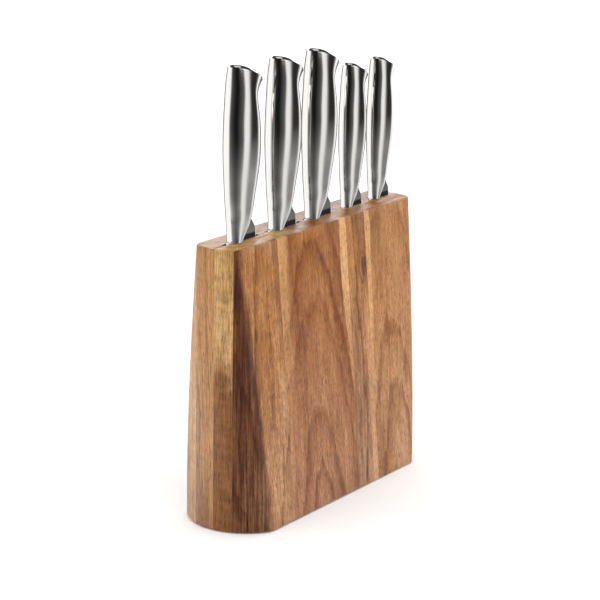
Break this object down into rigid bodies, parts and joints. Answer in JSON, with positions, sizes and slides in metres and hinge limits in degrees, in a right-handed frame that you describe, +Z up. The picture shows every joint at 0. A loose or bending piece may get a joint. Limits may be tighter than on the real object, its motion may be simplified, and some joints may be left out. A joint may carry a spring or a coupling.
{
  "type": "knife block with knives",
  "caption": "Laminated hardwood knife block with rounded ends and sloping long faces, holding a row of hollow-handled steel knives that lift straight out.",
  "frame": {"origin": "on the resting surface, under the middle of the block's base", "axes": "+Z up, +X along the row of knives towards the small ones, +Y from the front face to the back face"},
  "size_m": [0.2514, 0.0814, 0.3557],
  "materials": {
    "acacia_outer": "oiled, satin",
    "acacia_inner": "oiled, satin",
    "foot_rubber": "matte",
    "blade_steel": "satin ground",
    "handle_steel": "satin polished"
  },
  "bodies": {
    "block": {"front_stave_1": "acacia_outer", "front_stave_2": "acacia_outer", "front_stave_3": "acacia_outer", "front_stave_4": "acacia_outer", "front_inner_board_1": "acacia_inner", "front_inner_board_2": "acacia_inner", "front_inner_board_3": "acacia_inner", "slot_strip_1": "acacia_inner", "slot_strip_2": "acacia_inner", "slot_strip_3": "acacia_inner", "slot_strip_4": "acacia_inner", "slot_strip_5": "acacia_inner", "slot_strip_6": "acacia_inner", "back_inner_board_1": "acacia_inner", "back_inner_board_2": "acacia_inner", "back_inner_board_3": "acacia_inner", "back_stave_1": "acacia_outer", "back_stave_2": "acacia_outer", "back_stave_3": "acacia_outer", "back_stave_4": "acacia_outer", "rubber_feet": "foot_rubber"},
    "cook_knife": {"cook_blade": "blade_steel", "cook_bolster": "handle_steel", "cook_handle_front_shell": "handle_steel", "cook_handle_back_shell": "handle_steel"},
    "santoku_knife": {"santoku_blade": "blade_steel", "santoku_bolster": "handle_steel", "santoku_handle_front_shell": "handle_steel", "santoku_handle_back_shell": "handle_steel"},
    "bread_knife": {"bread_blade": "blade_steel", "bread_bolster": "handle_steel", "bread_handle_front_shell": "handle_steel", "bread_handle_back_shell": "handle_steel"},
    "utility_knife": {"utility_blade": "blade_steel", "utility_bolster": "handle_steel", "utility_handle_front_shell": "handle_steel", "utility_handle_back_shell": "handle_steel"},
    "paring_knife": {"paring_blade": "blade_steel", "paring_bolster": "handle_steel", "paring_handle_front_shell": "handle_steel", "paring_handle_back_shell": "handle_steel"}
  },
  "joints": [
    {"name": "cook_knife_lift", "type": "slide", "parent": "block", "child": "cook_knife", "axis": [0, 0, 1], "range_m": [0, 0.21]},
    {"name": "santoku_knife_lift", "type": "slide", "parent": "block", "child": "santoku_knife", "axis": [0, 0, 1], "range_m": [0, 0.185]},
    {"name": "bread_knife_lift", "type": "slide", "parent": "block", "child": "bread_knife", "axis": [0, 0, 1], "range_m": [0, 0.21]},
    {"name": "utility_knife_lift", "type": "slide", "parent": "block", "child": "utility_knife", "axis": [0, 0, 1], "range_m": [0, 0.14]},
    {"name": "paring_knife_lift", "type": "slide", "parent": "block", "child": "paring_knife", "axis": [0, 0, 1], "range_m": [0, 0.1]}
  ]
}
